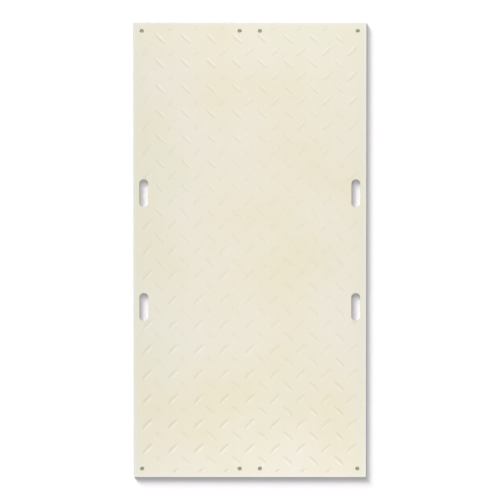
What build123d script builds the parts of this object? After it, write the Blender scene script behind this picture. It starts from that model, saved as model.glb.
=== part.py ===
from build123d import *
import math
import os

# A ground protection mat: one compression-moulded board of polyethylene that
# lies flat on soft ground. X is the width, Y the length and Z the thickness.
# The underside is flat and lies on z = 0; the raised tread is on top.

# Board
mat_width = 1219.0
mat_length = 2438.0
plate_thickness = 13.0
corner_radius = 3.0
edge_bevel = 1.5

# Hand slots, two in each long side
slot_width = 46.0
slot_length = 152.0
slot_edge_distance = 54.5
slot_spacing = 610.0
slot_edge_bevel = 3.0

# Bolt holes, four across each end
bolt_hole_diameter = 22.0
bolt_hole_side_distance = 45.0
bolt_hole_end_distance = 45.0
centre_hole_spacing = 106.0

# Tread of raised lozenges, every other one turned the other way
tread_pitch = 133.5
lozenge_length = 90.0
lozenge_width = 27.0
lozenge_height = 4.0
crest_width = 4.0
chords_per_side = 4
lozenge_turn = 45.0

# Flat bands that the tread stays clear of
plain_border = 28.0
slot_rim = 8.0
bolt_hole_rim = 8.0
tip_clearance = 60.0
shortest_tip = 8.0

# Places that follow from the sizes above
slot_x = mat_width / 2 - slot_edge_distance
slot_y = slot_spacing / 2
corner_hole_x = mat_width / 2 - bolt_hole_side_distance
centre_hole_x = centre_hole_spacing / 2
hole_y = mat_length / 2 - bolt_hole_end_distance
top_z = plate_thickness
field_width = mat_width - 2 * plain_border
field_length = mat_length - 2 * plain_border
slot_places = [Pos(x, y, 0) for x in (-slot_x, slot_x) for y in (-slot_y, slot_y)]
hole_row = (-corner_hole_x, -centre_hole_x, centre_hole_x, corner_hole_x)
hole_places = [Pos(x, y, 0) for x in hole_row for y in (-hole_y, hole_y)]


# The flat board, with its outer edge eased on both faces
outline = RectangleRounded(mat_width, mat_length, corner_radius)
board = extrude(outline, plate_thickness)
outer_edges = [e for f in board.faces().filter_by(Axis.Z) for e in f.outer_wire().edges()]
board = chamfer(outer_edges, edge_bevel)

# Hand slots cut right through, with the grips eased on both faces
slot_plan = SlotOverall(slot_length, slot_width, rotation=90)
slot_cut = extrude(slot_plan, plate_thickness)
board -= [place * slot_cut for place in slot_places]
grip_edges = [e for f in board.faces().filter_by(Axis.Z) for w in f.inner_wires() for e in w.edges()]
board = chamfer(grip_edges, slot_edge_bevel)

# Bolt holes drilled right through
hole_plan = Circle(bolt_hole_diameter / 2)
hole_cut = extrude(hole_plan, plate_thickness)
board -= [place * hole_cut for place in hole_places]

# One raised lozenge of the tread: a pointed lens shape whose two arcs are each
# drawn as a few chords, drawn in by its flanks to a narrow crest
arc_radius = (lozenge_length**2 + lozenge_width**2) / (4 * lozenge_width)
arc_depth = arc_radius - lozenge_width / 2
half_angle = math.asin(lozenge_length / 2 / arc_radius)
chord_angles = [half_angle * (1 - 2 * n / chords_per_side) for n in range(chords_per_side)]
upper_points = [(arc_radius * math.sin(a), arc_radius * math.cos(a) - arc_depth) for a in chord_angles]
lower_points = [(-x, -y) for x, y in upper_points]
foot = make_face(Polyline(*upper_points, *lower_points, close=True))
flank_inset = (lozenge_width - crest_width) / 2
flank_lean = math.degrees(math.atan2(flank_inset, lozenge_height))
lozenge = extrude(foot, lozenge_height, taper=flank_lean)
lozenge_tip = lozenge_length / 2 * math.cos(math.radians(lozenge_turn))

# The field that the tread fills, and the flat rims round slots and bolt holes
field = extrude(Rectangle(field_width, field_length), top_z + 2 * lozenge_height)
slot_rim_plan = SlotOverall(slot_length + 2 * slot_rim, slot_width + 2 * slot_rim, rotation=90)
hole_rim_plan = Circle(bolt_hole_diameter / 2 + bolt_hole_rim)
openings = Sketch() + [p * slot_plan for p in slot_places] + [p * hole_plan for p in hole_places]
rim_plan = Sketch() + [p * slot_rim_plan for p in slot_places] + [p * hole_rim_plan for p in hole_places]
rim_blocks = extrude(rim_plan, top_z + 2 * lozenge_height)

# The lozenges stand on a square grid, with the ones turned across in its gaps
half_pitch = tread_pitch / 2
last_column = math.ceil((field_width / 2 + lozenge_tip) / half_pitch)
last_row = math.ceil((field_length / 2 + lozenge_tip) / half_pitch)
studs = []
for column in range(-last_column, last_column + 1):
    for row in range(-last_row, last_row + 1):
        x = column * half_pitch
        y = row * half_pitch
        over_x = abs(x) + lozenge_tip - field_width / 2
        over_y = abs(y) + lozenge_tip - field_length / 2
        over = max(over_x, over_y)
        if column % 2 != row % 2 or over > 2 * lozenge_tip - shortest_tip:
            continue
        room = openings.distance_to(Vector(x, y, 0))
        if room < (tip_clearance if over > 0 else slot_rim):
            continue
        turn = lozenge_turn if column % 2 == 0 else -lozenge_turn
        stud = Pos(x, y, top_z) * Rot(0, 0, turn) * lozenge
        if over > 0:
            stud = stud & field
        if room < lozenge_length / 2 + max(slot_rim, bolt_hole_rim):
            stud = stud - rim_blocks
        studs.append(stud)

# The tread and the board are one moulding
mat = board + studs

os.makedirs("parts", exist_ok=True)
export_step(mat, "parts/mat.step")
print("mat", len(studs), "lozenges", round(mat.volume / 1000), "cubic cm", mat.is_valid)
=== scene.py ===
import bmesh
import bpy
import math
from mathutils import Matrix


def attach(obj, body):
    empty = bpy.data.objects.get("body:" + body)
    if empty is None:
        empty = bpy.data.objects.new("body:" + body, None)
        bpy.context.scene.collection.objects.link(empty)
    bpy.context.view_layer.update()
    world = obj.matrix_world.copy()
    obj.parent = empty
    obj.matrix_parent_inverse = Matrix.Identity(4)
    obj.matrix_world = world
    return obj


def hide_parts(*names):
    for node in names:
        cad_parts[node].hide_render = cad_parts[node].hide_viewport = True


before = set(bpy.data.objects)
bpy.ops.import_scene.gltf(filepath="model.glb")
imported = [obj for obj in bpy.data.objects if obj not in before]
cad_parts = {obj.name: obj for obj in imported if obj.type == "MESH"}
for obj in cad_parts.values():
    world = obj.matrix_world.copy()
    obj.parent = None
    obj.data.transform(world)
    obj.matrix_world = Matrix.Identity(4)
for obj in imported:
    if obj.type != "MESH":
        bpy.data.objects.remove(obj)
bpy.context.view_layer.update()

# The board: one sheet of natural polyethylene, compression moulded between
# two plates. It is as thick as a finger is wide, with four hand slots routed
# through its long sides, eight bolt holes drilled at its ends, and eased edges.
board_width = 1.219
board_length = 2.438
board_thickness = 0.013
corner_radius = 0.003
outer_easing = 0.0016
slot_width = 0.046
slot_length = 0.152
slot_rounding = 0.003
slot_edge_distance = 0.0545
slot_x = board_width / 2 - slot_edge_distance
slot_y = 0.305
hole_radius = 0.011
hole_easing = 0.0005
hole_edge_distance = 0.045
corner_hole_x = board_width / 2 - hole_edge_distance
middle_hole_x = 0.053
hole_y = board_length / 2 - hole_edge_distance
cutter_height = 0.06
below_board = -0.02
# A cutter's round ends stop this short of a half circle, so its corners stay apart
hair = 0.00002
near_enough = 1e-6
slot_places = [(x, y) for x in (-slot_x, slot_x) for y in (-slot_y, slot_y)]
hole_row = (-corner_hole_x, -middle_hole_x, middle_hole_x, corner_hole_x)
hole_places = [(x, y) for x in hole_row for y in (-hole_y, hole_y)]


def select_only(piece):
    """Makes a piece the only one selected, and the active one."""
    bpy.ops.object.select_all(action="DESELECT")
    piece.select_set(True)
    bpy.context.view_layer.objects.active = piece


def pick_edges(piece, wanted):
    """In edit mode, selects the edges whose two ends pass the test."""
    mesh = bmesh.from_edit_mesh(piece.data)
    bpy.ops.mesh.select_all(action="DESELECT")
    bpy.ops.mesh.select_mode(type="EDGE")
    for edge in mesh.edges:
        edge.select_set(wanted(edge.verts[0].co, edge.verts[1].co))
    mesh.select_flush_mode()
    bmesh.update_edit_mesh(piece.data)


def upright(a, b):
    """Whether an edge between two corners stands upright."""
    return abs(a.x - b.x) < near_enough and abs(a.y - b.y) < near_enough


def level(a, b):
    """Whether an edge between two corners lies level."""
    return abs(a.z - b.z) < near_enough


def eased(piece, wanted, reach, segments, clamp=True):
    """Rounds the edges that pass the test."""
    select_only(piece)
    bpy.ops.object.mode_set(mode="EDIT")
    pick_edges(piece, wanted)
    bpy.ops.mesh.bevel(offset=reach, segments=segments, affect="EDGES", clamp_overlap=clamp)
    bpy.ops.object.mode_set(mode="OBJECT")


def block(name, width, length, height, round_corner, segments):
    """A slab standing on z = 0 with rounded upright edges."""
    bpy.ops.object.select_all(action="DESELECT")
    bpy.ops.mesh.primitive_cube_add(size=1, location=(0, 0, height / 2))
    piece = bpy.context.object
    piece.name = name
    piece.scale = (width, length, height)
    bpy.ops.object.transform_apply(location=True, rotation=True, scale=True)
    eased(piece, upright, round_corner, segments, clamp=False)
    return piece


def peg(radius, sides):
    """An upright round cutter, half above z = 0 and half below."""
    bpy.ops.object.select_all(action="DESELECT")
    bpy.ops.mesh.primitive_cylinder_add(vertices=sides, radius=radius, depth=cutter_height)
    return bpy.context.object


def repeated(piece, places, height=0.0, turn=0.0):
    """Copies of a piece at each place, joined into one; the piece itself goes."""
    copies = []
    for x, y in places:
        copy = piece.copy()
        copy.data = piece.data.copy()
        copy.location = (x, y, height)
        copy.rotation_euler = (0, 0, turn)
        bpy.context.collection.objects.link(copy)
        copies.append(copy)
    bpy.data.objects.remove(piece, do_unlink=True)
    bpy.ops.object.select_all(action="DESELECT")
    for copy in copies:
        copy.select_set(True)
    bpy.context.view_layer.objects.active = copies[0]
    bpy.ops.object.join()
    bpy.ops.object.transform_apply(location=True, rotation=True, scale=True)
    return bpy.context.object


def worked(piece, tool, operation):
    """Cuts or joins the tool into the piece, and throws the tool away."""
    select_only(piece)
    change = piece.modifiers.new(operation, "BOOLEAN")
    change.operation = operation
    change.solver = "EXACT"
    change.object = tool
    bpy.ops.object.modifier_apply(modifier=change.name)
    bpy.data.objects.remove(tool, do_unlink=True)


def around(places, reach_x, reach_y):
    """A test for the flat edges, top and bottom, that lie round any of the places."""
    spare = 1e-5

    def wanted(a, b):
        return level(a, b) and any(
            max(abs(p.x - x) for p in (a, b)) < reach_x + spare
            and max(abs(p.y - y) for p in (a, b)) < reach_y + spare
            for x, y in places
        )
    return wanted


# The sawn outline is eased first, top and bottom
mat = block(
    "mat_surface", board_width, board_length, board_thickness, corner_radius, segments=4
)
eased(mat, level, outer_easing, segments=3)

slot_cutter = block(
    "slot_cutter", slot_width, slot_length, cutter_height, slot_width / 2 - hair, segments=16
)
worked(mat, repeated(slot_cutter, slot_places, height=below_board), "DIFFERENCE")
worked(mat, repeated(peg(hole_radius, sides=40), hole_places), "DIFFERENCE")

# The routed rims are rounded for the hand, the drilled ones only eased
eased(mat, around(slot_places, slot_width / 2, slot_length / 2), slot_rounding, segments=4)
eased(mat, around(hole_places, hole_radius, hole_radius), hole_easing, segments=2)

# The tread: sharp-crested lozenges moulded in one with the top face, a hand's
# width long, in rows that lean right and left by turns. They stop at the plain
# border, and stay clear of the grips and bolt holes.
tread_pitch = 0.1335
tread_turn = math.radians(45)
border = 0.028
rim_width = 0.008
# A lozenge that the border trims is left out where less than this shows of it,
# or where an opening is this near its middle
shortest_tip = 0.008
tip_clearance = 0.060
# Height over the face, half length and half width: the root lies a little
# under the face, the flanks rise to an eased crest
lozenge_rings = (
    (-0.00010, 0.0456, 0.0139),
    (0.00025, 0.0428, 0.0121),
    (0.00325, 0.0270, 0.0034),
    (0.00375, 0.0225, 0.0014),
    (0.00400, 0.0195, 0.0005),
)
root_height, root_length, root_width = lozenge_rings[0]
arc_radius = (root_length**2 + root_width**2) / (2 * root_width)
arc_offset = arc_radius - root_width
arc_sides = 30
sunk = 0.001

arcs = []
for side in (-1, 1):
    bpy.ops.object.select_all(action="DESELECT")
    bpy.ops.mesh.primitive_cylinder_add(
        vertices=arc_sides, radius=arc_radius, depth=sunk,
        location=(0, side * arc_offset, board_thickness + root_height - sunk / 2),
        rotation=(0, 0, math.pi if side > 0 else 0),
    )
    arcs.append(bpy.context.object)
    bpy.ops.object.transform_apply(location=True, rotation=True, scale=True)
lozenge, other_arc = arcs
lozenge.name = "lozenge"
worked(lozenge, other_arc, "INTERSECT")

# Its flat caps are cleared of the cut's spare corners, and each ring of the
# lozenge is drawn up from the last
corner_spacing = 0.00005
nearly_flat = math.radians(1)
select_only(lozenge)
bpy.ops.object.mode_set(mode="EDIT")
bpy.ops.mesh.select_all(action="SELECT")
bpy.ops.mesh.remove_doubles(threshold=corner_spacing)
bpy.ops.mesh.dissolve_limited(angle_limit=nearly_flat)
bpy.ops.mesh.select_all(action="DESELECT")
bpy.ops.mesh.select_mode(type="FACE")
shape = bmesh.from_edit_mesh(lozenge.data)
for face in shape.faces:
    face.select_set(face.normal.z > 0.9)
bmesh.update_edit_mesh(lozenge.data)
for below, above in zip(lozenge_rings, lozenge_rings[1:]):
    bpy.ops.mesh.extrude_region_move(
        TRANSFORM_OT_translate={"value": (0, 0, above[0] - below[0])}
    )
    bpy.ops.transform.resize(value=(above[1] / below[1], above[2] / below[2], 1))
bpy.ops.object.mode_set(mode="OBJECT")

half_pitch = tread_pitch / 2
field_x = board_width / 2 - border
field_y = board_length / 2 - border
half_length = 0.045
tip = half_length * math.cos(tread_turn)
columns = math.ceil(field_x / half_pitch)
rows = math.ceil(field_y / half_pitch)


def clear_of_openings(x, y):
    """How far a spot is from the nearest grip or bolt hole."""
    gaps = []
    for slot_at_x, slot_at_y in slot_places:
        along = max(abs(y - slot_at_y) - (slot_length - slot_width) / 2, 0)
        gaps.append(math.hypot(x - slot_at_x, along) - slot_width / 2)
    for hole_at_x, hole_at_y in hole_places:
        gaps.append(math.hypot(x - hole_at_x, y - hole_at_y) - hole_radius)
    return min(gaps)


leaning = {0: [], 1: []}
for column in range(-columns, columns + 1):
    for row in range(-rows, rows + 1):
        x, y = column * half_pitch, row * half_pitch
        past = max(abs(x) + tip - field_x, abs(y) + tip - field_y)
        if column % 2 != row % 2 or past > 2 * tip - shortest_tip:
            continue
        if clear_of_openings(x, y) < (tip_clearance if past > 0 else rim_width):
            continue
        leaning[column % 2].append((x, y))

second_lozenge = lozenge.copy()
second_lozenge.data = lozenge.data.copy()
bpy.context.collection.objects.link(second_lozenge)
rows_right = repeated(lozenge, leaning[0], turn=tread_turn)
rows_left = repeated(second_lozenge, leaning[1], turn=-tread_turn)
bpy.ops.object.select_all(action="DESELECT")
rows_left.select_set(True)
rows_right.select_set(True)
bpy.context.view_layer.objects.active = rows_right
bpy.ops.object.join()
tread = bpy.context.object
tread.name = "tread"

# The plain border and the flat rims round the openings are cleared of tread
over_tread = 0.04
field_rounding = 0.004
field = block("field", 2 * field_x, 2 * field_y, over_tread, field_rounding, segments=2)
worked(tread, field, "INTERSECT")
rims = block(
    "rims", slot_width + 2 * rim_width, slot_length + 2 * rim_width, over_tread,
    slot_width / 2 + rim_width - hair, segments=18,
)
worked(tread, repeated(rims, slot_places), "DIFFERENCE")
rim_peg = peg(hole_radius + rim_width, sides=32)
worked(tread, repeated(rim_peg, hole_places), "DIFFERENCE")
worked(mat, tread, "UNION")

# Corners that the cuts left almost on one spot are made one, so that no sliver
# folds over its neighbour
one_spot = 0.00002
sharp_edge = math.radians(30)
select_only(mat)
bpy.ops.object.mode_set(mode="EDIT")
bpy.ops.mesh.select_all(action="SELECT")
bpy.ops.mesh.remove_doubles(threshold=one_spot)
bpy.ops.object.mode_set(mode="OBJECT")
bpy.ops.object.shade_smooth_by_angle(angle=sharp_edge)
even = mat.modifiers.new("even_shading", "WEIGHTED_NORMAL")
even.keep_sharp = True
even.weight = 100
bpy.ops.object.modifier_apply(modifier=even.name)

# Natural polyethylene: a warm ivory, waxy and matt off the moulding plates,
# with a fine grain and faint clouds where the melt flowed and cooled
polyethylene = bpy.data.materials.new("natural_polyethylene")
polyethylene.use_nodes = True
nodes = polyethylene.node_tree.nodes
links = polyethylene.node_tree.links
shader = nodes["Principled BSDF"]
shader.inputs["IOR"].default_value = 1.51
shader.inputs["Metallic"].default_value = 0.0
place = nodes.new("ShaderNodeTexCoord")


def cloud(scale, detail, roughness=0.5, distortion=0.0, shift=(0, 0, 0)):
    """Soft noise over the piece, so many features to the metre."""
    moved = nodes.new("ShaderNodeMapping")
    moved.inputs["Location"].default_value = shift
    links.new(place.outputs["Object"], moved.inputs["Vector"])
    noise = nodes.new("ShaderNodeTexNoise")
    noise.inputs["Scale"].default_value = scale
    noise.inputs["Detail"].default_value = detail
    noise.inputs["Roughness"].default_value = roughness
    noise.inputs["Distortion"].default_value = distortion
    links.new(moved.outputs["Vector"], noise.inputs["Vector"])
    return noise.outputs["Fac"]


def between(amount, low, high, to_low=0.0, to_high=1.0):
    """The amount spread evenly from one range onto another, and held at its ends."""
    spread = nodes.new("ShaderNodeMapRange")
    spread.inputs["From Min"].default_value = low
    spread.inputs["From Max"].default_value = high
    spread.inputs["To Min"].default_value = to_low
    spread.inputs["To Max"].default_value = to_high
    links.new(amount, spread.inputs["Value"])
    return spread.outputs["Result"]


def figured(operation, *amounts):
    """One step of arithmetic on sockets and plain numbers."""
    step = nodes.new("ShaderNodeMath")
    step.operation = operation
    for socket, amount in zip(step.inputs, amounts):
        if isinstance(amount, float):
            socket.default_value = amount
        else:
            links.new(amount, socket)
    return step.outputs[0]


def blended(amount, first, second):
    """One colour at 0 and the other at 1."""
    mix = nodes.new("ShaderNodeMix")
    mix.data_type = "RGBA"
    links.new(amount, mix.inputs[0])
    for socket, colour in ((mix.inputs[6], first), (mix.inputs[7], second)):
        if isinstance(colour, tuple):
            socket.default_value = (*colour, 1)
        else:
            links.new(colour, socket)
    return mix.outputs[2]


def relief(pattern, depth):
    """Bump of the given depth, at half strength."""
    bump = nodes.new("ShaderNodeBump")
    bump.inputs["Strength"].default_value = 0.5
    bump.inputs["Distance"].default_value = depth
    links.new(pattern, bump.inputs["Height"])
    return bump


warm_ivory = (0.842, 0.788, 0.618)
pale_ivory = (0.862, 0.812, 0.706)
green_ivory = (0.826, 0.812, 0.668)
painted_glow_ivory = (0.94, 0.93, 0.72)
painted_edge_highlight = (0.842, 0.842, 0.795)
painted_highlight_depth = 0.016

spot = nodes.new("ShaderNodeSeparateXYZ")
links.new(place.outputs["Object"], spot.inputs[0])
off_centre = figured("ABSOLUTE", spot.outputs["X"])
off_middle = figured("ABSOLUTE", spot.outputs["Y"])
off_ground = spot.outputs["Z"]

# Warm and pale clouds, and greenish ones that are strongest along the sides
flow = cloud(scale=2.2, detail=2.0, shift=(15.08, 14.25, 0))
body_colour = blended(between(flow, 0.35, 0.65), warm_ivory, pale_ivory)
cool_cloud = cloud(scale=1.3, detail=1.0, distortion=0.6, shift=(4.55, -10.85, 0))
cool_share = figured(
    "MAXIMUM", between(cool_cloud, 0.5, 0.72, 0, 0.6), between(off_centre, 0.53, 0.60, 0, 0.9)
)
body_colour = blended(cool_share, body_colour, green_ivory)

# Painted glow: the upright cut walls are painted a paler ivory that stands for light
# coming in through the side; it fades out towards their top and bottom
painted_glow_share = figured(
    "MINIMUM", between(off_ground, 0.0002, 0.001), between(off_ground, 0.0105, 0.0125, 1, 0)
)
body_colour = blended(painted_glow_share, body_colour, painted_glow_ivory)
# Painted highlight: a band 16 mm wide round the outer edge is painted a paler, greyer ivory,
# palest at the edge, for the light an eased edge catches
past_side = figured("SUBTRACT", off_centre, board_width / 2)
past_end = figured("SUBTRACT", off_middle, board_length / 2)
painted_highlight_share = between(figured("MAXIMUM", past_side, past_end), -painted_highlight_depth, 0.0)
links.new(blended(painted_highlight_share, body_colour, painted_edge_highlight), shader.inputs["Base Color"])

waxy = cloud(scale=14, detail=3.0)
links.new(between(waxy, 0.3, 0.7, 0.56, 0.68), shader.inputs["Roughness"])
grain = relief(cloud(scale=650, detail=3.0, roughness=0.6), depth=0.0002)
swell = relief(cloud(scale=9, detail=2.0), depth=0.0006)
links.new(swell.outputs["Normal"], grain.inputs["Normal"])
links.new(grain.outputs["Normal"], shader.inputs["Normal"])
mat.data.materials.clear()
mat.data.materials.append(polyethylene)
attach(mat, "root")
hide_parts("mat")


def seen_directly(tree):
    """1 where the camera, a mirror or clear stock shows it, 0 where it only gives light."""
    rays = tree.nodes.new("ShaderNodeLightPath")
    either = rays.outputs["Is Camera Ray"]
    for ray in ("Is Glossy Ray", "Is Transmission Ray"):
        largest = tree.nodes.new("ShaderNodeMath")
        largest.operation = "MAXIMUM"
        tree.links.new(either, largest.inputs[0])
        tree.links.new(rays.outputs[ray], largest.inputs[1])
        either = largest.outputs[0]
    return either


# The studio floor: a plain pale sheet, matt, so wide that its far edge is
# outside every view. The board lies flat on it.
floor_size = 80
floor_height = -0.0002
tone_that_lights = (0.40, 0.39, 0.40)
tone_that_is_seen = (0.583, 0.570, 0.583)
bpy.ops.object.select_all(action="DESELECT")
bpy.ops.mesh.primitive_grid_add(
    x_subdivisions=2, y_subdivisions=2, size=floor_size, location=(0, 0, floor_height)
)
floor = bpy.context.object
floor.name = "studio_floor"
bpy.ops.object.transform_apply(location=True, rotation=True, scale=True)
pale = bpy.data.materials.new("pale_studio_floor")
pale.use_nodes = True
paint = pale.node_tree
pale_shader = paint.nodes["Principled BSDF"]
pale_shader.inputs["Roughness"].default_value = 1.0
pale_shader.inputs["Specular IOR Level"].default_value = 0.0
floor_tone = paint.nodes.new("ShaderNodeMix")
floor_tone.data_type = "RGBA"
floor_tone.inputs[6].default_value = (*tone_that_lights, 1)
floor_tone.inputs[7].default_value = (*tone_that_is_seen, 1)
paint.links.new(seen_directly(paint), floor_tone.inputs[0])
paint.links.new(floor_tone.outputs[2], pale_shader.inputs["Base Color"])
floor.data.materials.append(pale)

# The studio's light: even white walls, a soft lamp overhead and a soft lamp
# past each end of the board, and two lamps that throw the shadow on the floor
wall_light = 0.60
lamp_size = 1.5
world = bpy.data.worlds.new("white_studio")
bpy.context.scene.world = world
world.use_nodes = True
air = world.node_tree
walls = air.nodes["Background"]
walls.inputs["Color"].default_value = (1, 1, 1, 1)
wall_strength = air.nodes.new("ShaderNodeMapRange")
wall_strength.inputs["To Min"].default_value = wall_light
wall_strength.inputs["To Max"].default_value = 1.0
air.links.new(seen_directly(air), wall_strength.inputs["Value"])
air.links.new(wall_strength.outputs["Result"], walls.inputs["Strength"])

lit_board = bpy.data.collections.new("lit_board")
lit_board.objects.link(mat)
lit_floor = bpy.data.collections.new("lit_floor")
lit_floor.objects.link(floor)


def aim(thing, x, y, z):
    """Turns a lamp or camera to face a point."""
    run = (x - thing.location.x, y - thing.location.y, z - thing.location.z)
    flat = math.hypot(run[0], run[1])
    thing.rotation_euler = (math.atan2(flat, -run[2]), 0, math.atan2(-run[0], run[1]))


for lamp_name, lamp_place, lamp_aim, watts in (
    ("far_lamp", (0.26, 3.63, 1.65), (0.6, 1.5, 0), 51.7),
    ("near_lamp", (0.34, -3.23, 1.2), (-0.09, 0.16, 0), 40.7),
    ("overhead_lamp", (0, -0.05, 1.5), (0, 0, 0), 4.1),
):
    bpy.ops.object.light_add(type="AREA", location=lamp_place)
    lamp = bpy.context.object
    lamp.name = lamp_name
    lamp.data.size = lamp_size
    lamp.data.energy = watts
    aim(lamp, *lamp_aim)
    lamp.visible_camera = False
    lamp.visible_glossy = False
    lamp.light_linking.receiver_collection = lit_board

# Each sun: its strength, its width and its height in degrees, and which way
# over the floor its shadows run
for lamp_name, sun_strength, sun_width, sun_height, shadow_way in (
    ("low_shadow_lamp", 14.3, 22, 11, (0.545, -0.839)),
    ("high_shadow_lamp", 3.0, 32, 26.5, (0.264, -0.965)),
):
    bpy.ops.object.light_add(type="SUN", location=(-1.5, 2.5, 1.2))
    lamp = bpy.context.object
    lamp.name = lamp_name
    lamp.data.energy = sun_strength
    lamp.data.angle = math.radians(sun_width)
    ray = (*shadow_way, -math.tan(math.radians(sun_height)))
    aim(lamp, *(start + run for start, run in zip(lamp.location, ray)))
    lamp.light_linking.receiver_collection = lit_floor

# The camera: overhead, leaning a little past the middle of the board, and so
# far off that the board's sides stay parallel
bpy.ops.object.camera_add()
camera = bpy.context.object
camera.data.lens = 1500
camera.data.sensor_width = 36
camera.data.clip_end = 1000
lean = math.radians(12.75)
away = 109.04
look_x, look_y = 0.0012, 0.0019
camera.location = (
    look_x, look_y + away * math.sin(lean), board_thickness + away * math.cos(lean)
)
camera.rotation_euler = (-lean, 0, 0)
bpy.context.scene.camera = camera
bpy.context.scene.view_settings.view_transform = "Standard"
